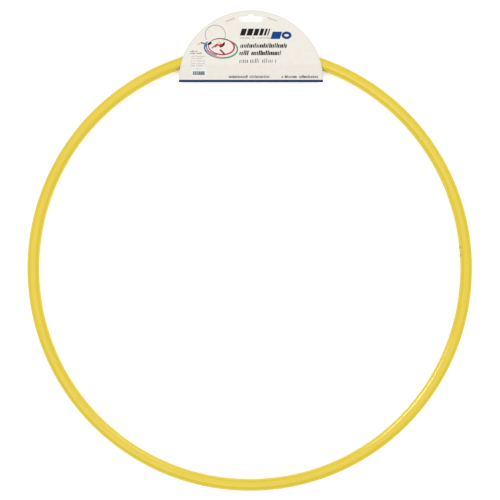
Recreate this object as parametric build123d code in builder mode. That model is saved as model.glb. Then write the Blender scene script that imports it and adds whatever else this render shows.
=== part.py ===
from build123d import *
import os
from math import asin, cos, degrees, radians, sin, tan

# A rhythmic hoop lying flat, with its folded header card still stapled round it. The ring's
# centre is at x = y = 0, +Z is the ring's axis, and the card sits on the +Y side with its
# printed panel up. z = 0 is the surface that the hoop lies on. All sizes in millimetres.

os.makedirs("parts", exist_ok=True)

# Hoop: one length of hollow plastic tube bent to a ring and butt-welded
hoop_diameter = 600.0
tube_diameter = 16.0
tube_bore = 8.25
weld_angle = 4.65
weld_width = 1.0
weld_proud = 0.1
plug_length = 40.0
plug_clearance = 0.05
plug_chamfer = 0.8
dimple_spacing = 10.7
dimple_sphere = 4.0
dimple_depth = 0.5

# Header card: a disc of board folded in half over the tube
card_radius = 97.2
card_thickness = 0.4
card_x = 1.7
fold_y = 251.1
fold_radius = 0.5
tube_gap = 0.4
panel_gap = 0.15
rim_allowance = 2.0
shoulder_near = 24.8
shoulder_far = 40.9
closing_angle = 12.5
closing_bend = 20.0

# Hang slot, punched through both panels
slot_width = 34.4
slot_height = 7.6
slot_y = 336.2
slot_arch_radius = 5.0
slot_arch_y = 338.4

# Staples: wire of a rectangular section, legs turned inwards behind the card
staple_crown = 12.7
staple_wire = 0.5
staple_width = 0.65
staple_tip = 1.4
staple_bend = 0.45
staple_hole_room = 0.2
staple_tilt = 20.5
left_staple_at = (-26.4, 335.1)
right_staple_at = (30.2, 335.9)

# Sizes that follow from those above
tube_radius = tube_diameter / 2
bore_radius = tube_bore / 2
ring_radius = hoop_diameter / 2 - tube_radius
ring_z = card_thickness + tube_gap + tube_radius
weld_turn = degrees(weld_width / ring_radius)
plug_turn = degrees(plug_length / ring_radius)
dimple_turn = degrees(dimple_spacing / (ring_radius - tube_radius))
dimple_reach = ring_radius - tube_radius - dimple_sphere + dimple_depth
shoulder_radius = tube_radius + tube_gap + card_thickness / 2
panel_height = (panel_gap + card_thickness) / 2
fold_centre = fold_radius + card_thickness / 2
opening_angle = degrees(asin((shoulder_radius - fold_radius) / (shoulder_near - fold_centre)))
card_half_height = panel_height + card_thickness / 2
leg_offset = (staple_crown - staple_wire) / 2


def upright_plane(place, angle):
    """The upright plane through a place at mid-tube height: x runs level at the angle, y is up."""
    turn = radians(angle)
    return Plane(
        origin=(*place, ring_z),
        x_dir=(cos(turn), sin(turn), 0),
        z_dir=(sin(turn), -cos(turn), 0),
    )


def ring_section(angle):
    """The upright plane through the ring's axis that cuts the tube at an angle round the ring."""
    return upright_plane((0, 0), angle)


def card_outline(side):
    """Corners and bend radii of the folded card's section, moved out of its mid-surface by side."""
    shoulder = shoulder_radius + side
    height = panel_height + side
    half_opening = tan(radians(opening_angle / 2))
    half_closing = tan(radians(closing_angle / 2))
    tip = fold_centre - (fold_radius + side) / sin(radians(opening_angle))
    near = shoulder_near - shoulder * half_opening
    far = shoulder_far + shoulder * half_closing
    closed = far + (shoulder - height) / tan(radians(closing_angle))
    # past the rim, and further on the inner side, so that cutting leaves the panels apart there
    top = card_radius + rim_allowance - side
    front = [(top, height), (closed, height), (far, shoulder), (near, shoulder)]
    back = [(x, -y) for x, y in reversed(front)]
    bends = [closing_bend - side, shoulder, shoulder]
    return [*front, (tip, 0), *back], [*bends, fold_radius + side, *reversed(bends)]


def staple_outline(side):
    """Corners and bend radii of a staple seen from along the fold line, moved out of its mid-line."""
    leg = leg_offset + side
    height = card_half_height + staple_wire / 2 + side
    half = [(leg, height), (leg, -height), (staple_tip, -height)]
    corners = [(-x, y) for x, y in reversed(half)] + half
    return corners, [staple_bend + side] * 4


# ---- Hoop ----

with BuildPart() as hoop_tube:
    with BuildSketch(ring_section(weld_angle + weld_turn / 2)):
        with Locations((ring_radius, 0)):
            Circle(tube_radius)
            Circle(bore_radius, mode=Mode.SUBTRACT)
    revolve(axis=Axis.Z, revolution_arc=360 - weld_turn)
    # a shallow dimple each side of the seam, on the face towards the ring's centre
    with Locations(Plane((0, 0, ring_z))):
        with PolarLocations(dimple_reach, 2, weld_angle - dimple_turn / 2, 2 * dimple_turn):
            Sphere(dimple_sphere, mode=Mode.SUBTRACT)

with BuildPart() as weld_seam:
    with BuildSketch(ring_section(weld_angle - weld_turn / 2)):
        with Locations((ring_radius, 0)):
            Circle(tube_radius + weld_proud)
            Circle(bore_radius - plug_clearance, mode=Mode.SUBTRACT)
    revolve(axis=Axis.Z, revolution_arc=weld_turn)

with BuildPart() as joint_plug:
    with BuildSketch(ring_section(weld_angle - plug_turn / 2)):
        with Locations((ring_radius, 0)):
            Circle(bore_radius - plug_clearance)
    revolve(axis=Axis.Z, revolution_arc=plug_turn)
    chamfer(joint_plug.faces().filter_by(GeomType.PLANE).edges(), plug_chamfer)

# ---- Header card ----

with BuildPart() as header_card:
    with BuildSketch(Plane((card_x, fold_y, ring_z), x_dir=(0, 1, 0), z_dir=(1, 0, 0))):
        for side, mode in ((card_thickness / 2, Mode.ADD), (-card_thickness / 2, Mode.SUBTRACT)):
            corners, bends = card_outline(side)
            with BuildLine():
                FilletPolyline(*corners, radius=bends)
                Line(corners[-1], corners[0])
            make_face(mode=mode)
    extrude(amount=card_radius + rim_allowance, both=True)
    # cut to half a disc, with the hang slot and the staples' leg holes, through both panels
    with BuildSketch(Plane.XY.offset(ring_z)):
        with Locations((card_x, fold_y)):
            Circle(card_radius)
            Rectangle(
                2 * card_radius, card_radius,
                align=(Align.CENTER, Align.MAX), mode=Mode.SUBTRACT,
            )
        with Locations((card_x, slot_y)):
            SlotOverall(slot_width, slot_height, mode=Mode.SUBTRACT)
        with Locations((card_x, slot_arch_y)):
            Circle(slot_arch_radius, mode=Mode.SUBTRACT)
        for place, tilt in ((left_staple_at, staple_tilt), (right_staple_at, -staple_tilt)):
            with Locations(Location((*place, 0), tilt)):
                with GridLocations(2 * leg_offset, 0, 2, 1):
                    Rectangle(
                        staple_wire + 2 * staple_hole_room,
                        staple_width + staple_hole_room,
                        mode=Mode.SUBTRACT,
                    )
    extrude(amount=2 * shoulder_radius, both=True, mode=Mode.INTERSECT)


# ---- Staples ----


def make_staple(place, tilt):
    """A staple through both panels: crown in front, both legs turned inwards behind."""
    with BuildPart() as staple:
        with BuildSketch(upright_plane(place, tilt)):
            outer, outer_bends = staple_outline(staple_wire / 2)
            inner, inner_bends = staple_outline(-staple_wire / 2)
            with BuildLine():
                FilletPolyline(*outer, radius=outer_bends)
                Line(outer[-1], inner[-1])
                FilletPolyline(*inner, radius=inner_bends)
                Line(inner[0], outer[0])
            make_face()
        extrude(amount=staple_width / 2, both=True)
    return staple


staple_left = make_staple(left_staple_at, staple_tilt)
staple_right = make_staple(right_staple_at, -staple_tilt)

# ---- Export ----

pieces = {
    "hoop_tube": hoop_tube,
    "weld_seam": weld_seam,
    "joint_plug": joint_plug,
    "header_card": header_card,
    "staple_left": staple_left,
    "staple_right": staple_right,
}
for node, piece in pieces.items():
    piece.part.label = node
    export_step(piece.part, f"parts/{node}.step")
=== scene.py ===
import bisect
import random
from math import asin, atan2, cos, exp, hypot, pi, radians, sin, sqrt, tan

import bpy
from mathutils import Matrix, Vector, noise
from mathutils.geometry import delaunay_2d_cdt


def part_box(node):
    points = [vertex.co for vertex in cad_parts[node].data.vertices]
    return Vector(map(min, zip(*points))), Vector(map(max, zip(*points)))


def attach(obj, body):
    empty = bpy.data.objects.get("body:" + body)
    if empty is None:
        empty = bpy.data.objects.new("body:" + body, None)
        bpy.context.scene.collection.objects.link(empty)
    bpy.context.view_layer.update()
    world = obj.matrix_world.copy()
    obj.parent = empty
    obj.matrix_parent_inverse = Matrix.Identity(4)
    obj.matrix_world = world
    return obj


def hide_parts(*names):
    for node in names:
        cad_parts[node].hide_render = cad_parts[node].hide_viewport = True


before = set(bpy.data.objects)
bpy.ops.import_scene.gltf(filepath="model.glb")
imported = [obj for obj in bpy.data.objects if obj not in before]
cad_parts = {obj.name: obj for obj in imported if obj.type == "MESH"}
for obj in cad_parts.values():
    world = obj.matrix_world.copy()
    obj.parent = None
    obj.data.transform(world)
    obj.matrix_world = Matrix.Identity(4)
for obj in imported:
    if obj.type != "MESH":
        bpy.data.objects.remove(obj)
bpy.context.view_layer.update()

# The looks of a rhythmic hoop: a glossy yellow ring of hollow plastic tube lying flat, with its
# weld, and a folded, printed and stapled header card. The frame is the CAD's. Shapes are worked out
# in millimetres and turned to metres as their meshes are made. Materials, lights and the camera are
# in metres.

MM = 0.001


# ---- Places and sizes ----


def node_box(node):
    """The lowest and highest corners of a CAD node, in millimetres."""
    low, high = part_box(node)
    return Vector(low) / MM, Vector(high) / MM


tube_low, tube_high = node_box("hoop_tube")
RING_Z = (tube_low.z + tube_high.z) / 2
TUBE_RADIUS = (tube_high.z - tube_low.z) / 2
RING_RADIUS = max(tube_high.x, tube_high.y, -tube_low.x, -tube_low.y) - TUBE_RADIUS
PLUG_CLEARANCE = 0.05
plug_low, plug_high = node_box("joint_plug")
BORE_RADIUS = (plug_high.z - plug_low.z) / 2 + PLUG_CLEARANCE
weld_low, weld_high = node_box("weld_seam")
WELD_ANGLE = atan2(weld_low.y + weld_high.y, weld_low.x + weld_high.x)

card_low, card_high = node_box("header_card")
CARD_X = (card_low.x + card_high.x) / 2
CARD_RADIUS = (card_high.x - card_low.x) / 2
FOLD_Y = card_low.y

# What the boxes don't give is as in the CAD. v is the height over the fold, seen from above.
BOARD = 0.4
FOLD_RADIUS = 0.5
PANEL_GAP = 0.15
SHOULDER_NEAR = 24.8
SHOULDER_FAR = 40.9
CLOSING_ANGLE = radians(12.5)
CLOSING_BEND = 20
SHOULDER_RADIUS = (card_high.z - card_low.z - BOARD) / 2
PANEL_HEIGHT = (PANEL_GAP + BOARD) / 2
SLOT_SIZE = (34.4, 7.6)
SLOT_V = 336.2 - FOLD_Y
SLOT_ARCH_RADIUS = 5
SLOT_ARCH_V = 338.4 - FOLD_Y
WIRE = (0.5, 0.65)
LEG_OFFSET = 6.1
LEG_HOLE = (0.9, 0.85)
TIP_OFFSET = 1.4
WIRE_BEND = 0.45
STAPLE_TILT = radians(20.5)


def staple_place(node):
    """A staple's middle: x from the card's centre line, and v."""
    low, high = node_box(node)
    return ((low.x + high.x) / 2 - CARD_X, (low.y + high.y) / 2 - FOLD_Y)


STAPLES = {
    "staple_left": (staple_place("staple_left"), STAPLE_TILT),
    "staple_right": (staple_place("staple_right"), -STAPLE_TILT),
}


# ---- Helpers for meshes ----


def make_piece(name, vertices, faces, materials, body, node=None, sharp=40, indices=None):
    """A mesh object that rides on a body, and that replaces a node where one is given.

    sharp is the angle in degrees above which an edge stays sharp, and indices gives each face's
    place among the materials.
    """
    mesh = bpy.data.meshes.new(name)
    mesh.from_pydata([tuple(c * MM for c in v) for v in vertices], [], faces)
    for material in materials:
        mesh.materials.append(material)
    if indices:
        mesh.polygons.foreach_set("material_index", indices)
    mesh.polygons.foreach_set("use_smooth", [True] * len(mesh.polygons))
    mesh.set_sharp_from_angle(angle=radians(sharp))
    mesh.update()
    piece = bpy.data.objects.new(name, mesh)
    bpy.context.scene.collection.objects.link(piece)
    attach(piece, body)
    if node:
        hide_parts(node)
    return piece


def smooth_step(value, low, high):
    """0 at low, 1 at high, smooth between."""
    t = min(max((value - low) / (high - low), 0.0), 1.0)
    return t * t * (3 - 2 * t)


# ---- Helpers for materials ----


class Shader:
    """A Principled material under construction."""

    def __init__(self, name, **values):
        self.material = bpy.data.materials.new(name)
        self.material.use_nodes = True
        self.nodes = self.material.node_tree.nodes
        self.links = self.material.node_tree.links
        self.principled = self.nodes["Principled BSDF"]
        for socket, value in values.items():
            self.principled.inputs[socket.replace("_", " ")].default_value = value

    def add(self, kind, inputs=None, **settings):
        """A new node. inputs maps a socket to a value or to another node's output."""
        node = self.nodes.new("ShaderNode" + kind)
        for name, value in settings.items():
            setattr(node, name, value)
        for name, value in (inputs or {}).items():
            if isinstance(value, bpy.types.NodeSocket):
                self.links.new(value, node.inputs[name])
            else:
                node.inputs[name].default_value = value
        return node

    def place(self):
        """Where a point is on the object, in metres."""
        return self.add("TexCoord").outputs["Object"]

    def noise(self, where, scale=1.0, detail=3.0, roughness=0.5):
        """A grey noise over a vector output."""
        sockets = {"Vector": where, "Scale": scale, "Detail": detail, "Roughness": roughness}
        return self.add("TexNoise", sockets).outputs["Fac"]

    def stretched(self, where, scale):
        """A vector output scaled along each axis."""
        return self.add("Mapping", {"Vector": where, "Scale": scale}).outputs["Vector"]

    def spread(self, value, low, high, to_low, to_high):
        """A value remapped from one range to another, and held at its ends."""
        sockets = {"Value": value, "From Min": low, "From Max": high, "To Min": to_low, "To Max": to_high}
        return self.add("MapRange", sockets).outputs["Result"]

    def maths(self, operation, first, second):
        """Two values put through a Math node."""
        return self.add("Math", {0: first, 1: second}, operation=operation).outputs[0]

    def blend(self, share, first, second):
        """Two colours mixed by a share: 6, 7 and output 2 are the Mix node's colour sockets."""
        return self.add("Mix", {0: share, 6: first, 7: second}, data_type="RGBA").outputs[2]

    def bump(self, height, depth, strength=1.0, below=None):
        """A bumped normal from a height between 0 and 1, over a depth in millimetres."""
        sockets = {"Height": height, "Distance": depth * MM, "Strength": strength}
        if below is not None:
            sockets["Normal"] = below
        return self.add("Bump", sockets).outputs["Normal"]

    def feed(self, socket, output):
        """An output linked to one of the Principled shader's sockets."""
        self.links.new(output, self.principled.inputs[socket])


def scaled(colour, factor):
    """A colour made darker or lighter."""
    return (*[c * factor for c in colour[:3]], 1.0)


# ---- Materials ----

HOOP_LIGHT = (0.592, 0.447, 0.0142, 1)
HOOP_DEEP = (0.572, 0.431, 0.0122, 1)
HOOP_SCUFF = (0.66, 0.55, 0.16, 1)
HOOP_WELD = (0.56, 0.43, 0.025, 1)
# The dark olive of the painted shade in and round the notches by the weld
HOOP_NOTCH_SHADE = (0.25, 0.205, 0.010, 1)
PLUG_LIGHT = (0.80, 0.77, 0.70, 1)
PLUG_DARK = (0.66, 0.63, 0.56, 1)
BOARD_WHITE = (0.64, 0.61, 0.555, 1)
BOARD_SHADE = (0.615, 0.58, 0.52, 1)
# Both the colour of the board's die-cut edge and the painted shade at the rim of its face
BOARD_EDGE_AND_RIM_SHADE = (0.50, 0.475, 0.425, 1)
BOARD_RAW = (0.54, 0.51, 0.46, 1)
STEEL_LIGHT = (0.40, 0.365, 0.335, 1)
STEEL_DARK = (0.19, 0.165, 0.148, 1)
INK_NAVY = (0.002, 0.024, 0.085, 1)
INK_CHARCOAL = (0.005, 0.005, 0.005, 1)
INK_BLUE = (0.001, 0.036, 0.17, 1)
INK_PALE = (0.21, 0.20, 0.19, 1)
INK_BLACK = (0.005, 0.005, 0.006, 1)
INK_BROWN = (0.10, 0.088, 0.080, 1)
INK_PLUM = (0.022, 0.018, 0.075, 1)
INK_SLATE = (0.06, 0.06, 0.09, 1)
INK_FAINT = (0.26, 0.25, 0.24, 1)
INK_LABEL = (0.62, 0.635, 0.62, 1)
INK_BARS = (0.025, 0.05, 0.075, 1)
INK_SAGE = (0.22, 0.32, 0.29, 1)
INK_GREEN = (0.025, 0.25, 0.17, 1)
INK_STEEL = (0.045, 0.12, 0.20, 1)
INK_RED = (0.42, 0.03, 0.06, 1)
INK_MAROON = (0.12, 0.035, 0.045, 1)
INK_CORAL = (0.58, 0.20, 0.16, 1)
INK_CREAM = (0.66, 0.48, 0.30, 1)
INK_LILAC = (0.22, 0.20, 0.40, 1)
INK_OLIVE = (0.13, 0.16, 0.10, 1)
INK_AMBER = (0.62, 0.36, 0.06, 1)


def hoop_plastic():
    """Glossy yellow tube: fine die lines, cloudy pigment, light scuffs, dull weld, and painted shade that
    darkens the notches.
    """
    s = Shader("hoop_plastic", IOR=1.5)
    along = s.add("Attribute", attribute_name="tube_place").outputs["Vector"]
    weld = s.add("Attribute", attribute_name="near_weld").outputs["Fac"]
    notch_shade = s.add("Attribute", attribute_name="in_notch").outputs["Fac"]
    die_lines = s.noise(s.stretched(along, (3, 700, 700)), detail=4.0, roughness=0.6)
    peel = s.noise(along, 420, 2.0)
    clouds = s.noise(s.stretched(along, (14, 60, 60)), detail=4.0)
    scuffs = s.noise(s.stretched(along, (90, 900, 900)), detail=6.0, roughness=0.75)
    scuffed = s.spread(scuffs, 0.62, 0.74, 0.0, 1.0)
    colour = s.blend(s.spread(clouds, 0.3, 0.7, 0.0, 1.0), HOOP_DEEP, HOOP_LIGHT)
    colour = s.blend(s.maths("MULTIPLY", scuffed, 0.12), colour, HOOP_SCUFF)
    colour = s.blend(s.maths("MULTIPLY", weld, 0.35), colour, HOOP_WELD)
    # Painted shade: the notches and their surround are darkened towards dark olive, by an amount that
    # varies at random
    colour = s.blend(s.maths("MULTIPLY", notch_shade, s.spread(scuffs, 0.3, 0.6, 0.95, 0.7)), colour, HOOP_NOTCH_SHADE)
    s.feed("Base Color", colour)
    rough = s.spread(die_lines, 0.25, 0.75, 0.10, 0.14)
    rough = s.maths("ADD", rough, s.maths("MULTIPLY", scuffed, 0.16))
    rough = s.maths("ADD", rough, s.maths("MULTIPLY", weld, 0.16))
    rough = s.maths("ADD", rough, s.maths("MULTIPLY", notch_shade, 0.4))
    s.feed("Roughness", rough)
    normal = s.bump(die_lines, 0.006, 0.5)
    normal = s.bump(peel, 0.012, 0.3, normal)
    normal = s.bump(s.maths("MULTIPLY", weld, die_lines), 0.08, 1.0, normal)
    s.feed("Normal", normal)
    return s.material


def weld_plastic():
    """The same plastic melted and scraped: duller and streaky."""
    s = Shader("weld_plastic", IOR=1.5)
    streaks = s.noise(s.stretched(s.place(), (1500, 300, 1500)), detail=4.0, roughness=0.6)
    s.feed("Base Color", s.blend(streaks, scaled(HOOP_DEEP, 0.94), HOOP_WELD))
    s.feed("Roughness", s.spread(streaks, 0.3, 0.7, 0.30, 0.48))
    s.feed("Normal", s.bump(streaks, 0.05))
    return s.material


def plug_plastic():
    """The plain moulded plastic of the plug hidden in the joint."""
    s = Shader("plug_plastic", IOR=1.5)
    grain = s.noise(s.place(), 900)
    s.feed("Base Color", s.blend(grain, PLUG_DARK, PLUG_LIGHT))
    s.feed("Roughness", s.spread(grain, 0.3, 0.7, 0.45, 0.6))
    s.feed("Normal", s.bump(grain, 0.02))
    return s.material


def from_rim(s):
    """How far inside the card's rim a point is, in metres, seen from above."""
    centre = (CARD_X * MM, FOLD_Y * MM, 0.0)
    flat = s.add("VectorMath", {0: s.place(), 1: (1.0, 1.0, 0.0)}, operation="MULTIPLY").outputs[0]
    reach = s.add("VectorMath", {0: flat, 1: centre}, operation="DISTANCE").outputs["Value"]
    return s.maths("SUBTRACT", CARD_RADIUS * MM, reach)


def board_face():
    """Coated white board: faint fibre mottle, a satin coat, and painted shade that darkens it towards its
    rim.
    """
    s = Shader("board_face", IOR=1.45)
    mottle = s.noise(s.place(), 160, 5.0, 0.6)
    fibres = s.noise(s.stretched(s.place(), (1600, 900, 1200)), detail=3.0, roughness=0.6)
    tone = s.blend(s.spread(mottle, 0.35, 0.65, 0.0, 1.0), BOARD_SHADE, BOARD_WHITE)
    tone = s.blend(s.spread(fibres, 0.55, 0.75, 0.0, 0.10), tone, scaled(BOARD_SHADE, 0.93))
    # Painted shade: the face darkens towards the card's rim over its last 2.6 mm
    rim = s.spread(from_rim(s), 0.0, 2.6 * MM, 0.55, 0.0)
    s.feed("Base Color", s.blend(rim, tone, BOARD_EDGE_AND_RIM_SHADE))
    s.feed("Roughness", s.spread(mottle, 0.3, 0.7, 0.42, 0.56))
    s.feed("Normal", s.bump(mottle, 0.03, 0.5, s.bump(fibres, 0.012, 0.6)))
    return s.material


def board_raw():
    """Uncoated grey-white board inside the fold: visible fibres and flecks."""
    s = Shader("board_raw", IOR=1.45)
    fibres = s.noise(s.stretched(s.place(), (900, 350, 700)), detail=5.0, roughness=0.65)
    flecks = s.spread(s.noise(s.place(), 1400, 2.0), 0.66, 0.72, 0.0, 0.5)
    tone = s.blend(fibres, scaled(BOARD_RAW, 0.88), BOARD_RAW)
    s.feed("Base Color", s.blend(flecks, tone, scaled(BOARD_RAW, 0.6)))
    s.feed("Roughness", s.spread(fibres, 0.3, 0.7, 0.8, 0.95))
    s.feed("Normal", s.bump(fibres, 0.04))
    return s.material


def board_edge():
    """The die-cut edge of the board, with its plies showing as fine lines."""
    s = Shader("board_edge", IOR=1.45)
    plies = s.noise(s.stretched(s.place(), (120, 120, 9000)))
    s.feed("Base Color", s.blend(plies, scaled(BOARD_EDGE_AND_RIM_SHADE, 0.86), BOARD_RAW))
    s.feed("Roughness", s.spread(plies, 0.3, 0.7, 0.8, 0.95))
    s.feed("Normal", s.bump(plies, 0.03))
    return s.material


def ink(name, colour, worn=0.0):
    """Printed ink: a fine speckle, a satin surface, and cracks along the fold where it is worn."""
    s = Shader(name, IOR=1.2)
    speckle = s.noise(s.place(), 2600, 2.0)
    flow = s.noise(s.place(), 220, 4.0)
    tone = s.blend(s.spread(speckle, 0.3, 0.7, 0.0, 1.0), colour, scaled(colour, 1.16))
    tone = s.blend(s.spread(flow, 0.3, 0.7, 0.0, 0.5), tone, scaled(colour, 0.9))
    if worn:
        height = s.add("SeparateXYZ", {0: s.place()}).outputs["Y"]
        near_fold = s.spread(height, FOLD_Y * MM, (FOLD_Y + 0.5) * MM, 1.0, 0.0)
        cracks = s.noise(s.stretched(s.place(), (260, 4000, 1400)), detail=5.0, roughness=0.7)
        cracked = s.spread(cracks, 0.60, 0.70, 0.0, worn)
        tone = s.blend(s.maths("MULTIPLY", near_fold, cracked), tone, BOARD_SHADE)
    s.feed("Base Color", tone)
    s.feed("Roughness", s.spread(flow, 0.3, 0.7, 0.34, 0.46))
    s.feed("Normal", s.bump(speckle, 0.006, 0.5))
    return s.material


def staple_steel():
    """Galvanised wire: drawn lines along it and an uneven zinc bloom."""
    s = Shader("staple_steel", Metallic=1.0)
    along = s.add("Attribute", attribute_name="wire_place").outputs["Vector"]
    drawn = s.noise(s.stretched(along, (150, 6000, 6000)))
    bloom = s.noise(along, 900, 4.0)
    s.feed("Base Color", s.blend(bloom, STEEL_DARK, STEEL_LIGHT))
    s.feed("Roughness", s.spread(drawn, 0.3, 0.7, 0.28, 0.46))
    s.feed("Normal", s.bump(drawn, 0.008))
    return s.material


def floor_white():
    """A plain pale floor."""
    s = Shader("floor_white", Roughness=0.9, IOR=1.3)
    grain = s.noise(s.place(), 40)
    s.feed("Base Color", s.blend(grain, (0.95, 0.95, 0.95, 1), (0.97, 0.97, 0.97, 1)))
    s.principled.inputs["Emission Color"].default_value = (1, 1, 1, 1)
    s.principled.inputs["Emission Strength"].default_value = 0.18
    return s.material


# ---- Hoop ----

TUBE_SIDES = 64
ROW_STEP = radians(0.5)
FINE_STEP = radians(0.05)
FINE_REACH = radians(2.6)
BORE_STRIDE = 8
WELD_WIDTH = 1.0
DIMPLE_SPACING = 10.7
DIMPLE_SPHERE = 4
DIMPLE_DEPTH = 0.5
# The scraped stretch each side of the weld, the share of its depth that its facets vary, and where its
# duller finish fades out, in reaches
SCRAPE_DEPTH = 0.09
SCRAPE_REACH = 3.6
FACET_MEAN = 0.55
FACET_SWING = 0.45
FACET_SCALE = (0.8, 3.1)
WELD_FADE = (0.6, 1.5)
# Painted shade round a notch reaches this far along the ring and round the tube, and fades over its outer
# half
NOTCH_SHADE_REACH = (3.0, 6.4)
NOTCH_SHADE_CORE = 0.5
# Waves left by drawing the tube: their height, and how fast the short and the long ones change round
# the ring and round the tube
DRAW_WAVES = 0.035
SHORT_WAVES = (14, 1.6)
LONG_WAVES = (5, 1.2)
LONG_SHARE = 0.5


def tube_rows():
    """Angles round the ring from one side of the weld to the other, close together by the weld."""
    half = WELD_WIDTH / 2 / RING_RADIUS
    angles = []
    angle = half
    while angle < 2 * pi - half - FINE_STEP / 2:
        angles.append(angle)
        from_weld = min(angle, 2 * pi - angle)
        angle += FINE_STEP if from_weld < FINE_REACH else ROW_STEP
    return [*angles, 2 * pi - half]


def arc_from_weld(angle):
    """How far along the ring a point is from the weld, behind it being negative."""
    return (angle if angle < pi else angle - 2 * pi) * RING_RADIUS


def from_notch(arc, side):
    """How far a point on the tube is from the nearer notch: along the ring, and round the tube."""
    along = abs(arc) * (RING_RADIUS - TUBE_RADIUS) / RING_RADIUS - DIMPLE_SPACING / 2
    return along, (pi - side) * TUBE_RADIUS


def closed_noise(angle, rate, third):
    """Noise that runs round a full turn without a break, and changes at a rate along it."""
    return noise.noise(Vector((rate * cos(angle), rate * sin(angle), third)))


def tube_surface(angle, side):
    """The tube's radius at an angle from the weld and at an angle round the tube, 0 outwards."""
    arc = arc_from_weld(angle)
    # 0.4 and 9 only shift the two waves, so that they don't peak together
    waves = closed_noise(angle, SHORT_WAVES[0], SHORT_WAVES[1] * sin(side + 0.4))
    waves += LONG_SHARE * closed_noise(angle, LONG_WAVES[0], 9 + LONG_WAVES[1] * cos(side))
    radius = TUBE_RADIUS + DRAW_WAVES * waves
    if abs(arc) < 3 * SCRAPE_REACH:
        along, around = FACET_SCALE
        facet = noise.noise(Vector((arc * along, around * cos(side), around * sin(side))))
        facet = FACET_MEAN + FACET_SWING * facet
        radius -= SCRAPE_DEPTH * exp(-((arc / SCRAPE_REACH) ** 4)) * facet
        away = hypot(*from_notch(arc, side))
        if away < DIMPLE_SPHERE:
            cut = DIMPLE_DEPTH - (DIMPLE_SPHERE - sqrt(DIMPLE_SPHERE**2 - away**2))
            radius -= max(cut, 0.0)
    return radius


def ring_point(angle, side, radius):
    """A point on the tube, at an angle from the weld and an angle round the tube."""
    reach = RING_RADIUS + radius * cos(side)
    turn = WELD_ANGLE + angle
    return (reach * cos(turn), reach * sin(turn), RING_Z + radius * sin(side))


def ring_band(first, second, flip=False):
    """The faces between two rings of vertices."""
    quads = []
    for k in range(TUBE_SIDES):
        n = (k + 1) % TUBE_SIDES
        quad = (first + k, second + k, second + n, first + n)
        quads.append(quad[::-1] if flip else quad)
    return quads


def make_hoop():
    """The hollow tube: outer face, bore and the two ends that meet at the weld."""
    rows = tube_rows()
    bore_rows = sorted({0, len(rows) - 1, *range(0, len(rows), BORE_STRIDE)})
    vertices, places, welds, notches = [], [], [], []
    fade_start, fade_end = [share * SCRAPE_REACH for share in WELD_FADE]

    def add_ring(angle, radius_at):
        arc = arc_from_weld(angle)
        for k in range(TUBE_SIDES):
            side = 2 * pi * k / TUBE_SIDES
            vertices.append(ring_point(angle, side, radius_at(angle, side)))
            place = (angle * RING_RADIUS, TUBE_RADIUS * cos(side), TUBE_RADIUS * sin(side))
            places.extend(c * MM for c in place)
            welds.append(1 - smooth_step(abs(arc), fade_start, fade_end))
            # How strongly painted shade darkens this point near a notch
            along, across = from_notch(arc, side)
            away = hypot(along / NOTCH_SHADE_REACH[0], across / NOTCH_SHADE_REACH[1])
            notches.append(1 - smooth_step(away, NOTCH_SHADE_CORE, 1))

    for angle in rows:
        add_ring(angle, tube_surface)
    bore_start = len(vertices)
    for row in bore_rows:
        add_ring(rows[row], lambda angle, side: BORE_RADIUS)
    faces = []
    for row in range(len(rows) - 1):
        faces += ring_band(row * TUBE_SIDES, (row + 1) * TUBE_SIDES)
    for row in range(len(bore_rows) - 1):
        first = bore_start + row * TUBE_SIDES
        faces += ring_band(first, first + TUBE_SIDES, flip=True)
    faces += ring_band(0, bore_start, flip=True)
    last_bore = bore_start + (len(bore_rows) - 1) * TUBE_SIDES
    faces += ring_band((len(rows) - 1) * TUBE_SIDES, last_bore)
    piece = make_piece("hoop_ring", vertices, faces, [hoop_plastic()], "hoop", "hoop_tube")
    place = piece.data.attributes.new("tube_place", "FLOAT_VECTOR", "POINT")
    place.data.foreach_set("vector", places)
    for name, values in (("near_weld", welds), ("in_notch", notches)):
        piece.data.attributes.new(name, "FLOAT", "POINT").data.foreach_set("value", values)


WELD_SIDES = 160
# Half of the bead's section from the crest down: (along the ring, height over the tube's surface)
WELD_CREST = [(0.0, 0.10), (0.3, 0.085), (0.62, 0.04), (0.85, -0.06), (0.5, -0.5)]
# Scraping lowers what stands over the root, and leaves it uneven round the tube, in height and along
BEAD_ROOT = -0.1
BEAD_LOWERED = 0.05
BEAD_WOBBLE = 6
BEAD_UNEVEN_HEIGHT = 0.5
BEAD_UNEVEN_ALONG = 0.12


def make_weld():
    """The bead that fills the joint: a low ridge round the tube, uneven where it was scraped."""
    foot = [(0.5, BORE_RADIUS - PLUG_CLEARANCE - TUBE_RADIUS)]
    half = WELD_CREST + foot
    section = [(-along, height) for along, height in reversed(half[1:])] + half
    count = len(section)
    vertices = []
    for k in range(WELD_SIDES):
        side = 2 * pi * k / WELD_SIDES
        for along, height in section:
            wobble = closed_noise(side, BEAD_WOBBLE, along)
            if height > BEAD_ROOT:
                height = (height - BEAD_LOWERED) * (1 + BEAD_UNEVEN_HEIGHT * wobble)
                along *= 1 + BEAD_UNEVEN_ALONG * wobble
            vertices.append(ring_point(along / RING_RADIUS, side, TUBE_RADIUS + height))
    faces = []
    for k in range(WELD_SIDES):
        here, following = k * count, (k + 1) % WELD_SIDES * count
        for i in range(count):
            j = (i + 1) % count
            faces.append((here + i, here + j, following + j, following + i))
    make_piece("weld_bead", vertices, faces, [weld_plastic()], "hoop", "weld_seam")


# ---- The folded card's surface ----

ramp_run = SHOULDER_NEAR - FOLD_RADIUS - BOARD / 2
ramp_rise = SHOULDER_RADIUS - FOLD_RADIUS
OPENING_ANGLE = asin(ramp_rise / ramp_run)
taper_length = (SHOULDER_RADIUS - PANEL_HEIGHT) / sin(CLOSING_ANGLE)
taper_bends = (SHOULDER_RADIUS + CLOSING_BEND) * tan(CLOSING_ANGLE / 2)
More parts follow.
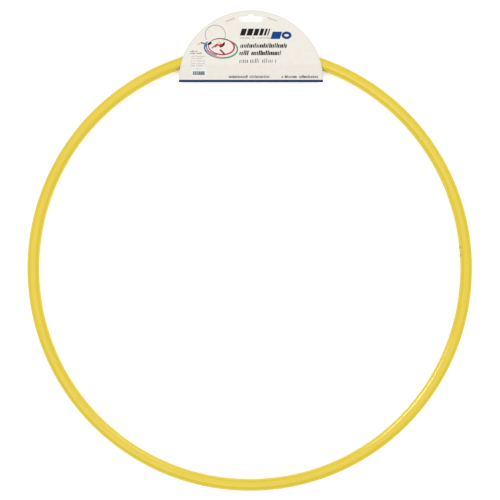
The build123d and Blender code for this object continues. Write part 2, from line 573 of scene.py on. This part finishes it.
# A panel's section from the fold to the rim: (length, turn, rows), a turn to the left being positive
SECTION = [
    (FOLD_RADIUS * (pi / 2 - OPENING_ANGLE), OPENING_ANGLE - pi / 2, 8),
    (sqrt(ramp_run**2 - ramp_rise**2), 0.0, 1),
    (SHOULDER_RADIUS * OPENING_ANGLE, -OPENING_ANGLE, 8),
    (SHOULDER_FAR - SHOULDER_NEAR, 0.0, 1),
    (SHOULDER_RADIUS * CLOSING_ANGLE, -CLOSING_ANGLE, 6),
    (taper_length - taper_bends, 0.0, 1),
    (CLOSING_BEND * CLOSING_ANGLE, CLOSING_ANGLE, 6),
    (CARD_RADIUS, 0.0, 1),
]
# The table of places along the section, which ends beyond the rim
TABLE_STEP = 0.05
TABLE_END = 110
# How the blank is divided: loose rows start off the round numbers and stay clear of the bends
GRID = 4.0
GRID_SHIFT = 0.37
GRID_CLEAR = 0.2
RIM_STEPS = 90
RIM_CLEAR = 0.05
DELAUNAY_TRIANGLES = 0
DELAUNAY_EPSILON = 1e-5
# How real board stands off its ideal surface. The rim gapes from a height over the fold upwards, except
# where a staple holds it, the corners lift between heights, and a slow wave is calm at fold and rim.
GAPE_START = 76
GAPE_FRONT = 0.30
GAPE_BACK = 0.16
STAPLE_HOLD = 12
CORNER_LIFT = 0.35
CORNER_RISE = (1, 12)
CORNER_FALL = (30, 60)
WAVE_LIFT = 0.12
WAVE_RISE = (0, 8)
WAVE_FALL = (GAPE_START - 6, GAPE_START + 8)
WAVE_SCALE = (0.022, 0.026)


def section_at(distance):
    """(v, height, normal's v, normal's height) of a panel's mid-surface, a distance from the fold."""
    v, height, heading = BOARD / 2, 0.0, pi / 2
    for length, turn, _ in SECTION:
        part = min(distance, length)
        if turn:
            radius = length / turn
            end = heading + part / radius
            v += radius * (sin(end) - sin(heading))
            height += radius * (cos(heading) - cos(end))
            heading = end
        else:
            v += part * cos(heading)
            height += part * sin(heading)
        distance -= part
        if distance <= 0:
            break
    return v, height, -sin(heading), cos(heading)


SECTION_TABLE = [section_at(k * TABLE_STEP)[0] for k in range(int(TABLE_END / TABLE_STEP))]


def distance_at(v):
    """The distance along a panel from the fold to the point that is at v seen from above."""
    k = min(max(bisect.bisect_left(SECTION_TABLE, v), 1), len(SECTION_TABLE) - 1)
    low, high = SECTION_TABLE[k - 1], SECTION_TABLE[k]
    return (k - 1 + (v - low) / (high - low)) * TABLE_STEP


CARD_REACH = distance_at(CARD_RADIUS)


def from_crown(x, v, place, tilt):
    """How far a point of the card is from a staple's crown."""
    along = (x - place[0]) * cos(tilt) + (v - place[1]) * sin(tilt)
    beyond = max(abs(along) - LEG_OFFSET, 0)
    across = (v - place[1]) * cos(tilt) - (x - place[0]) * sin(tilt)
    return hypot(beyond, across)


def card_lift(x, v, front):
    """How far a point of the card stands off its ideal surface."""
    nearest = min(from_crown(x, v, place, tilt) for place, tilt in STAPLES.values())
    gape = smooth_step(v, GAPE_START, CARD_RADIUS) * (1 - exp(-((nearest / STAPLE_HOLD) ** 2)))
    if not front:
        return GAPE_BACK * gape
    corner = (abs(x) / CARD_RADIUS) ** 5 * smooth_step(v, *CORNER_RISE)
    corner *= 1 - smooth_step(v, *CORNER_FALL)
    calm = smooth_step(v, *WAVE_RISE) * (1 - smooth_step(v, *WAVE_FALL))
    wave = noise.noise(Vector((x * WAVE_SCALE[0], v * WAVE_SCALE[1], 4.0)))
    return GAPE_FRONT * gape + CORNER_LIFT * corner + WAVE_LIFT * wave * calm


def card_point(x, distance, lift):
    """A point on the folded card: x from its centre line, distance from the fold, negative behind."""
    v, height, normal_v, normal_height = section_at(abs(distance))
    front = distance >= 0
    lift += card_lift(x, v, front)
    v += normal_v * lift
    height += normal_height * lift
    return (CARD_X + x, FOLD_Y + v, RING_Z + (height if front else -height))


def bend_distances():
    """Distances from the fold at which the board needs a row of points to follow its bends."""
    out, start = [0.0], 0.0
    for length, _, rows in SECTION:
        out += [start + length * (k + 1) / rows for k in range(rows)]
        start += length
    return [d for d in out if d < CARD_REACH]


BENDS = bend_distances()


def loop_area(loop):
    """The area of a loop, positive when it runs anticlockwise."""
    return sum(a[0] * b[1] - b[0] * a[1] for a, b in zip(loop, loop[1:] + loop[:1])) / 2


class Blank:
    """Points, lines and loops on the card's flat blank: x, and distance from the fold."""

    def __init__(self):
        self.points, self.edges, self.loops = [], [], []

    def add_loop(self, loop):
        """An outline or a hole, turned anticlockwise as the triangulation needs it."""
        start = len(self.points)
        self.points += loop if loop_area(loop) > 0 else loop[::-1]
        self.loops.append(list(range(start, len(self.points))))

    def add_rows(self, x_low, x_high, low, high):
        """Rows of points to follow the board: lines along its bends, and loose points between."""
        columns = max(int((x_high - x_low) / GRID), 1)
        for bend in BENDS:
            for row in {bend, -bend}:
                if low < row < high:
                    self.add_row(x_low, x_high, row, columns, True)
        row = GRID * (int(low / GRID) + GRID_SHIFT)
        while row < high:
            if row > low and min(abs(abs(row) - bend) for bend in BENDS) > GRID_CLEAR * GRID:
                self.add_row(x_low, x_high, row, columns, False)
            row += GRID

    def add_row(self, x_low, x_high, row, columns, joined):
        """One row of evenly spaced points, joined into a line where the board bends along it."""
        start = len(self.points)
        step = (x_high - x_low) / columns
        self.points += [(x_low + k * step, row) for k in range(columns + 1)]
        if joined:
            self.edges += [(start + k, start + k + 1) for k in range(columns)]

    def triangles(self, keep):
        """The triangulated blank, where keep says yes to the numbers of the loops round a triangle."""
        points = [Vector(p) for p in self.points]
        found, _, faces, _, _, inside = delaunay_2d_cdt(
            points, self.edges, self.loops, DELAUNAY_TRIANGLES, DELAUNAY_EPSILON,
        )
        return found, [face for face, loops in zip(faces, inside) if keep(set(loops))]


def slab(found, triangles, top_lift, bottom_lift):
    """A closed slab over triangles of the blank, folded into place: (vertices, faces, kinds)."""
    used = sorted({i for tri in triangles for i in tri})
    renumber = {old: new for new, old in enumerate(used)}
    count = len(used)
    vertices = [card_point(*found[i], top_lift) for i in used]
    vertices += [card_point(*found[i], bottom_lift) for i in used]
    tops = []
    for tri in triangles:
        a, b, c = [found[i] for i in tri]
        turned = tri if (b - a).cross(c - a) > 0 else tri[::-1]
        tops.append(tuple(renumber[i] for i in turned))
    sides = {(a, b) for tri in tops for a, b in zip(tri, tri[1:] + tri[:1])}
    walls = sorted((b, a, a + count, b + count) for a, b in sides if (b, a) not in sides)
    bottoms = [tuple(i + count for i in tri[::-1]) for tri in tops]
    kinds = [0] * len(tops) + [1] * len(bottoms) + [2] * len(walls)
    return vertices, tops + bottoms + walls, kinds


def arc_points(centre, radius, start, end, count):
    """Points along an arc, both ends included."""
    step = (end - start) / count
    return [
        (centre[0] + radius * cos(start + k * step), centre[1] + radius * sin(start + k * step))
        for k in range(count + 1)
    ]


def unrolled(loop):
    """A loop seen from above, as x and v, laid flat as x and distance from the fold."""
    return [(x, distance_at(v)) for x, v in loop]


SLOT_END_STEPS = 14
SLOT_ARCH_STEPS = 16


def slot_loop():
    """The hang slot's outline seen from above, with its arch."""
    end = SLOT_SIZE[1] / 2
    inset = SLOT_SIZE[0] / 2 - end
    dip = asin((SLOT_V + end - SLOT_ARCH_V) / SLOT_ARCH_RADIUS)
    loop = arc_points((inset, SLOT_V), end, -pi / 2, pi / 2, SLOT_END_STEPS)
    loop += arc_points((0, SLOT_ARCH_V), SLOT_ARCH_RADIUS, dip, pi - dip, SLOT_ARCH_STEPS)
    return loop + arc_points((-inset, SLOT_V), end, pi / 2, 3 * pi / 2, SLOT_END_STEPS)


def leg_hole_loop(place, tilt, side):
    """The outline of a staple leg's hole seen from above."""
    loop = []
    for across, up in ((-1, -1), (1, -1), (1, 1), (-1, 1)):
        along = side * LEG_OFFSET + across * LEG_HOLE[0] / 2
        over = up * LEG_HOLE[1] / 2
        x = place[0] + along * cos(tilt) - over * sin(tilt)
        loop.append((x, place[1] + along * sin(tilt) + over * cos(tilt)))
    return loop


def half_width(distance):
    """Half the card's width at a distance from the fold."""
    v = section_at(abs(distance))[0]
    return sqrt(max(CARD_RADIUS**2 - v**2, 0.0))


def make_card():
    """The whole card: one sheet, folded, with the slot and the leg holes cut through both panels."""
    rows = sorted({*BENDS, *(-bend for bend in BENDS)})
    for k in range(1, RIM_STEPS):
        rim = distance_at(CARD_RADIUS * sin(pi / 2 * k / RIM_STEPS))
        for row in (rim, -rim):
            if min(abs(row - other) for other in rows) > RIM_CLEAR:
                rows.append(row)
    rows.sort()
    outline = [(0.0, -CARD_REACH)] + [(half_width(d), d) for d in rows]
    outline += [(0.0, CARD_REACH)] + [(-half_width(d), d) for d in reversed(rows)]
    blank = Blank()
    blank.add_loop(outline)
    blank.add_rows(-CARD_RADIUS, CARD_RADIUS, -CARD_REACH, CARD_REACH)
    holes = [slot_loop()]
    for place, tilt in STAPLES.values():
        holes += [leg_hole_loop(place, tilt, side) for side in (-1, 1)]
    for hole in holes:
        front = unrolled(hole)
        blank.add_loop(front)
        blank.add_loop([(x, -distance) for x, distance in front])
    found, triangles = blank.triangles(lambda loops: loops == {0})
    vertices, faces, kinds = slab(found, triangles, BOARD / 2, -BOARD / 2)
    materials = [board_face(), board_raw(), board_edge()]
    make_piece(
        "header_card_board", vertices, faces, materials, "card", "header_card",
        sharp=50, indices=kinds,
    )


# ---- The print on the card ----

# The print has no lettering and no mark of any maker: words are rows of slanted ticks.
# Its places are x and v, before the small shift by which the print misses the middle of the board.

INK_PROUD = 0.03
INK_LAYER = 0.012
INK_SUNK = 0.03
INK_MARGIN = 1
STRIP_TOP = 3.15
STRIP_INSET = 0.1
PRINT_SHIFT = (0.3, 0.5)
FIGURE_LAYER = 7
CAP_STEPS = 8
# Ticks: how they lean, and their random shifts, heights and weights. No tick fills more of its step
# than TICK_CROWD.
SLANT = 0.2
TICK_SHIFT = 0.07
TICK_HEIGHTS = (0.72, 0.72, 0.75, 1.0)
TICK_WEIGHTS = (0.7, 1.35)
TICK_CROWD = 0.86
# Bars: what their random widths and gaps are drawn from, and where a row stops short of its end
BAR_WIDTHS = (0.44, 0.66, 0.88, 1.1)
BAR_GAPS = (0.22, 0.22, 0.44, 0.44)
BAR_STOP = 0.5


def print_ink(name, loops, material, layer=0, flat=False):
    """Ink inside loops on the card's front, a hair proud of the board. Layers lie one on another."""
    blank = Blank()
    for loop in loops:
        if not flat:
            loop = unrolled([(x + PRINT_SHIFT[0], v + PRINT_SHIFT[1]) for x, v in loop])
        blank.add_loop(loop)
    xs, distances = zip(*blank.points)
    x_low, x_high = min(xs) - INK_MARGIN, max(xs) + INK_MARGIN
    blank.add_rows(x_low, x_high, min(distances) - INK_MARGIN, max(distances) + INK_MARGIN)
    found, triangles = blank.triangles(bool)
    top = BOARD / 2 + INK_PROUD + INK_LAYER * layer
    vertices, faces, _ = slab(found, triangles, top, BOARD / 2 - INK_SUNK)
    make_piece(name, vertices, faces, [material], "card", sharp=50)


def stroke(path, width, end_width=None):
    """The outline of a round-ended stroke along a path, tapering to end_width."""
    end_width = width if end_width is None else end_width
    last = len(path) - 1
    left, right = [], []
    for k, (x, v) in enumerate(path):
        ahead, behind = path[min(k + 1, last)], path[max(k - 1, 0)]
        along = atan2(ahead[1] - behind[1], ahead[0] - behind[0])
        half = (width + (end_width - width) * k / last) / 2
        left.append((x - sin(along) * half, v + cos(along) * half))
        right.append((x + sin(along) * half, v - cos(along) * half))
        if k == 0:
            start_cap = arc_points((x, v), half, along + 1.5 * pi, along + pi / 2, CAP_STEPS)[1:-1]
        if k == last:
            end_cap = arc_points((x, v), half, along + pi / 2, along - pi / 2, CAP_STEPS)[1:-1]
    return left + end_cap + right[::-1] + start_cap


def oval(centre, reach, start, end, tilt=0.0, steps=40):
    """A path along part of an oval, between two angles in degrees."""
    path = []
    turn = radians(tilt)
    for k in range(steps + 1):
        angle = radians(start + (end - start) * k / steps)
        x, v = reach[0] * cos(angle), reach[1] * sin(angle)
        path.append((centre[0] + x * cos(turn) - v * sin(turn), centre[1] + x * sin(turn) + v * cos(turn)))
    return path


def slanted_block(x_low, x_high, v_low, v_high, slant=SLANT):
    """A block that leans to the right. x_low and x_high are at its foot."""
    lean = slant * (v_high - v_low)
    return [(x_low, v_low), (x_high, v_low), (x_high + lean, v_high), (x_low + lean, v_high)]


def tick_row(words, baseline, height, pitch, weight, seed, slant=SLANT):
    """A row of ticks that stands for words, each a (start, end), drawn at random from a seed."""
    dice = random.Random(seed)
    ticks = []
    for start, end in words:
        end -= slant * height
        count = max(round((end - start) / pitch), 1)
        step = (end - start) / count
        for k in range(count):
            x = start + (k + 0.5) * step + dice.uniform(-TICK_SHIFT, TICK_SHIFT) * step
            reach = height * dice.choice(TICK_HEIGHTS)
            half = min(weight * dice.uniform(*TICK_WEIGHTS), TICK_CROWD * step) / 2
            ticks.append(slanted_block(x - half, x + half, baseline, baseline + reach, slant))
    return ticks


def random_bars(x_low, x_high, v_low, v_high, seed):
    """Upright bars of random widths that encode nothing."""
    dice = random.Random(seed)
    bars, x = [], x_low
    while x < x_high - BAR_STOP:
        width = dice.choice(BAR_WIDTHS)
        bars.append(slanted_block(x, x + width, v_low, v_high, 0))
        x += width + dice.choice(BAR_GAPS)
    return bars


def print_card():
    """Everything printed on the card's front, and the strip of colour round its fold.

    The ticks of a line share a height, pitch and weight, and the number after them is its seed.
    """
    strip_top = distance_at(STRIP_TOP)
    edge = CARD_RADIUS - STRIP_INSET
    strip = [(-edge, -strip_top), (edge, -strip_top), (edge, strip_top), (-edge, strip_top)]
    print_ink("print_fold_strip", [strip], ink("ink_navy", INK_NAVY, worn=0.5), flat=True)
    print_mark()
    lines = tick_row([(-15.8, 48.8)], 44.8, 6.2, 2.4, 1.5, 2)
    lines += tick_row([(-16.5, -2.7), (-0.3, 41.0)], 34.8, 6.2, 2.4, 1.58, 3)
    print_ink("print_title", lines, ink("ink_black", INK_BLACK))
    words = [(-16.5, -3.4), (-1.9, 11.4), (14.2, 29.6), (31.0, 34.8)]
    print_ink("print_size_line", tick_row(words, 24.3, 6.0, 2.3, 0.95, 4, 0.1), ink("ink_brown", INK_BROWN))
    words = [(-30.6, -4.3), (-2.3, 24.9), (40.2, 43.7), (44.9, 62.0), (63.8, 90.3)]
    print_ink("print_foot_line", tick_row(words, 5.0, 3.6, 1.3, 0.74, 5), ink("ink_plum", INK_PLUM))
    lines = tick_row([(-82.3, -76.8), (-75.6, -72.4)], 39.2, 1.7, 0.95, 0.62, 6)
    lines += tick_row([(-82.3, -74.6), (-73.4, -66.2)], 36.6, 1.7, 0.95, 0.62, 7)
    print_ink("print_side_lines", lines, ink("ink_slate", INK_SLATE))
    lines = tick_row([(-79.4, -66.0)], 16.0, 1.5, 1.2, 0.4, 20, 0)
    rows = ((32.6, -61.9), (29.9, -65), (26.4, -61.9), (22.9, -62.3), (20.2, -65))
    for seed, (baseline, end) in enumerate(rows, 8):
        lines += tick_row([(-81.4, -74.8), (-73.8, end)], baseline, 1.4, 0.85, 0.42, seed)
    label = slanted_block(-80.8, -60.2, 7.0, 18.9, 0)
    print_ink("print_label", [label], ink("ink_label", INK_LABEL))
    print_ink("print_side_notes", lines, ink("ink_faint", INK_FAINT), 1)
    print_ink("print_bars", random_bars(-78.4, -62.2, 8.8, 13.6, 30), ink("ink_bars", INK_BARS), 1)
    print_hoops()
    print_figure()


def print_mark():
    """An abstract mark: a dark band cut by slanted gaps, a blue block and a blue ring."""
    cuts = ((-15.3, -8.3), (-6.6, 0.8), (2.5, 8.6), (10.3, 15.0), (16.7, 19.6), (21.3, 23.0))
    dark = [slanted_block(low, high, 61.8, 71.4, 0.3) for low, high in cuts]
    print_ink("print_mark_dark", dark, ink("ink_charcoal", INK_CHARCOAL))
    blue = [slanted_block(25.9, 38.6, 57.0, 67.2, 0.3)]
    blue += [stroke(oval((47.6, 62.1), (4.9, 3.5), start, start + 180), 3.6) for start in (0, 180)]
    print_ink("print_mark_blue", blue, ink("ink_blue", INK_BLUE))
    lines = tick_row([(-15.3, -1.0), (1.6, 4.2), (7.0, 25.8)], 57.3, 2.6, 1.3, 0.6, 1, 0)
    print_ink("print_mark_line", lines, ink("ink_pale", INK_PALE))


def print_hoops():
    """The picture's hoops: one upright behind, a red one and a green one lying, and a few ribbons."""
    grey = [stroke(oval((-48.3, 62.8), (13.6, 13.5), -32, 212), 1.0)]
    print_ink("print_hoop_grey", grey, ink("ink_sage", INK_SAGE))
    outer = ((-40.6, 44.2), (22.2, 13.0))
    green = [stroke(oval(*outer, -150, 34, -6), 2.4, 1.9)]
    print_ink("print_hoop_green", green, ink("ink_green", INK_GREEN), 1)
    steel = [stroke(oval(*outer, 150, 212, -6), 1.6, 2.3)]
    steel += [stroke(oval(*outer, 33, 80, -6), 1.6, 0.8)]
    steel += [stroke(oval((-40.6, 45.4), (19.6, 11.2), 168, 256, -6), 1.6, 1.3)]
    print_ink("print_hoop_steel", steel, ink("ink_steel", INK_STEEL), 2)
    coral = [stroke(oval((-40.8, 42.4), (19.6, 10.4), 200, 282, -6), 1.6, 1.2)]
    print_ink("print_ribbon_coral", coral, ink("ink_coral", INK_CORAL), 3)
    lilac = [stroke(oval((-41.2, 44.4), (18.9, 10.6), 176, 252, -6), 1.5, 1.9)]
    print_ink("print_ribbon_lilac", lilac, ink("ink_lilac", INK_LILAC), 4)
    inner = ((-40.1, 46.5), (17.4, 10.9))
    red = [
        stroke(oval(*inner, -120, 20, -6), 1.7, 2.3),
        stroke(oval(*inner, 20, 66, -6), 2.3, 1.5),
        stroke(oval(*inner, 138, 240, -6), 1.0, 1.6),
    ]
    print_ink("print_hoop_red", red, ink("ink_red", INK_RED), 5)
    maroon = [stroke(oval(*inner, 64, 140, -6), 1.5, 1.1)]
    print_ink("print_hoop_maroon", maroon, ink("ink_maroon", INK_MAROON), 6)


def print_figure():
    """The picture's gymnast as a plain sign: a disc for a head and round-ended strokes."""
    strokes = {
        "red": (INK_RED, [([(-48.6, 46.9), (-45.6, 49.0), (-40.2, 48.6), (-36.9, 49.6)], 3.3)]),
        "dark": (INK_CHARCOAL, [([(-41.6, 46.2), (-38.4, 47.0), (-36.2, 51.6)], 2.1),
                                ([(-57.0, 50.0), (-54.4, 51.4)], 3.0)]),
        "olive": (INK_OLIVE, [([(-52.4, 44.6), (-49.0, 47.4)], 1.7)]),
        "amber": (INK_AMBER, [([(-71.6, 49.4), (-69.2, 50.6)], 1.5)]),
        "blue": (INK_STEEL, [([(-60.6, 46.6), (-62.6, 50.6), (-67.2, 51.6)], 1.9)]),
        "brown": (INK_MAROON, [([(-41.2, 41.6), (-36.2, 36.6)], 2.1)]),
    }
    for layer, (word, (colour, parts)) in enumerate(strokes.items(), FIGURE_LAYER):
        loops = [stroke(path, width) for path, width in parts]
        print_ink("print_figure_" + word, loops, ink("ink_figure_" + word, colour), layer)
    head = [arc_points((-43.6, 51.9), 2.5, 0, 2 * pi, 24)[:-1]]
    head_layer = FIGURE_LAYER + len(strokes)
    print_ink("print_figure_head", head, ink("ink_figure_head", INK_CREAM), head_layer)


# ---- Staples ----

WIRE_ROUND = 0.14
ROUND_STEPS = 4
BEND_STEPS = 8
CROWN_STEPS = 16
CROWN_BOW = 0.06
LEG_DRIFT = 0.12


def wire_section():
    """The wire's rounded oblong section: (across the bend, along the width)."""
    loop = []
    for quarter, (sign_x, sign_y) in enumerate(((1, 1), (-1, 1), (-1, -1), (1, -1))):
        centre = (sign_x * (WIRE[0] / 2 - WIRE_ROUND), sign_y * (WIRE[1] / 2 - WIRE_ROUND))
        loop += arc_points(centre, WIRE_ROUND, quarter * pi / 2, (quarter + 1) * pi / 2, ROUND_STEPS)
    return loop


def staple_path():
    """(along, height, turn of the wire, sideways drift) from one leg's tip to the other's."""
    level = PANEL_HEIGHT + BOARD / 2 + WIRE[0] / 2
    leg = LEG_OFFSET - WIRE_BEND
    half = [(TIP_OFFSET, -level, 0.0, LEG_DRIFT)]
    for turn, height in ((0.0, -level + WIRE_BEND), (pi / 2, level - WIRE_BEND)):
        for along, up in arc_points((leg, height), WIRE_BEND, turn - pi / 2, turn, BEND_STEPS):
            half.append((along, up, atan2(along - leg, height - up), 0.0))
    crown = []
    for k in range(1, CROWN_STEPS):
        along = leg * (1 - 2 * k / CROWN_STEPS)
        crown.append((along, level + CROWN_BOW * (1 - (along / leg) ** 2), pi, 0.0))
    back = [(-along, height, 2 * pi - turn, -drift) for along, height, turn, drift in reversed(half)]
    return half + crown + back


def make_staple(node, place, tilt):
    """A wire staple through both panels: crown in front, both legs turned inwards behind."""
    section = wire_section()
    count = len(section)
    path = staple_path()
    vertices, places = [], []
    run = 0.0
    for k, (along, height, turn, drift) in enumerate(path):
        if k:
            run += hypot(along - path[k - 1][0], height - path[k - 1][1])
        for across, side in section:
            out = along + across * sin(turn)
            over = side + drift
            x = CARD_X + place[0] + out * cos(tilt) - over * sin(tilt)
            y = FOLD_Y + place[1] + out * sin(tilt) + over * cos(tilt)
            vertices.append((x, y, RING_Z + height - across * cos(turn)))
            places.extend(c * MM for c in (run, across, side))
    faces = []
    for k in range(len(path) - 1):
        for i in range(count):
            j = (i + 1) % count
            faces.append((k * count + i, k * count + j, (k + 1) * count + j, (k + 1) * count + i))
    faces.append(tuple(range(count))[::-1])
    faces.append(tuple(range((len(path) - 1) * count, len(path) * count)))
    piece = make_piece(
        node + "_wire", vertices, faces, [staple_steel()], "card", node,
    )
    wire = piece.data.attributes.new("wire_place", "FLOAT_VECTOR", "POINT")
    wire.data.foreach_set("vector", places)


# ---- Camera, lights, floor ----

# What the camera sees at the height of the tube's middle, in metres. LENS and SENSOR are in millimetres.
VIEW_WIDTH = 0.6744
VIEW_CENTRE = (0.0004, 0.0248)
LENS = 100
SENSOR = 36
SURROUND_STRENGTH = 0.80
GLOSS_BOX = (0.22, 0.19)
GLOSS_SPREAD = 44
FLOOR_REACH = 30.0


def make_camera():
    """Straight above the ring, with the card at the top of the picture."""
    data = bpy.data.cameras.new("camera")
    data.lens = LENS
    data.sensor_width = SENSOR
    camera = bpy.data.objects.new("camera", data)
    camera.location = (*VIEW_CENTRE, RING_Z * MM + VIEW_WIDTH * LENS / SENSOR)
    bpy.context.scene.collection.objects.link(camera)
    bpy.context.scene.camera = camera


def make_lamp(name, place, aim, size, watts, spread=180, only_gloss=False):
    """A soft box of a width and height. A narrow spread, in degrees, lights one part of the ring.

    only_gloss leaves a lamp out of the diffuse light, so that it adds a highlight and nothing else.
    """
    data = bpy.data.lights.new(name, "AREA")
    data.shape = "RECTANGLE"
    data.size, data.size_y = size
    data.energy = watts
    data.spread = radians(spread)
    lamp = bpy.data.objects.new(name, data)
    lamp.visible_camera = False
    lamp.visible_diffuse = not only_gloss
    lamp.location = place
    lamp.rotation_euler = (Vector(aim) - Vector(place)).to_track_quat("-Z", "Y").to_euler()
    bpy.context.scene.collection.objects.link(lamp)


def make_studio():
    """A white floor, an even white surround, a big soft box overhead, and three lamps for gloss.

    The key lamp and the fill lamp are low inside the ring, so that each lights only the part of the
    tube that it faces: lower right and lower left. The sheen lamp is above, for the upper right.
    """
    world = bpy.data.worlds.new("studio")
    world.use_nodes = True
    world.node_tree.nodes["Background"].inputs["Color"].default_value = (1, 1, 1, 1)
    world.node_tree.nodes["Background"].inputs["Strength"].default_value = SURROUND_STRENGTH
    bpy.context.scene.world = world
    bpy.context.scene.view_settings.view_transform = "Standard"
    make_lamp("top", (-0.1, 0.45, 2.6), (0, 0, 0), (5.0, 5.0), 84)
    make_lamp("key", (-0.12, 0.095, 0.14), (0.23, -0.18, 0), GLOSS_BOX, 0.095, GLOSS_SPREAD, True)
    make_lamp("fill", (0.086, 0.123, 0.14), (-0.167, -0.239, 0), GLOSS_BOX, 0.034, GLOSS_SPREAD, True)
    make_lamp("sheen", (-0.14, -0.22, 1.5), (0.20, 0.42, 0), (1.2, 1.2), 0.5, 40, True)
    mesh = bpy.data.meshes.new("floor")
    signs = ((-1, -1), (1, -1), (1, 1), (-1, 1))
    corners = [(x * FLOOR_REACH, y * FLOOR_REACH, 0) for x, y in signs]
    mesh.from_pydata(corners, [], [(0, 1, 2, 3)])
    mesh.materials.append(floor_white())
    floor = bpy.data.objects.new("floor", mesh)
    bpy.context.scene.collection.objects.link(floor)


make_camera()
make_studio()
make_hoop()
make_weld()
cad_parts["joint_plug"].material_slots[0].material = plug_plastic()
make_card()
print_card()
for staple, (staple_middle, staple_tilt) in STAPLES.items():
    make_staple(staple, staple_middle, staple_tilt)
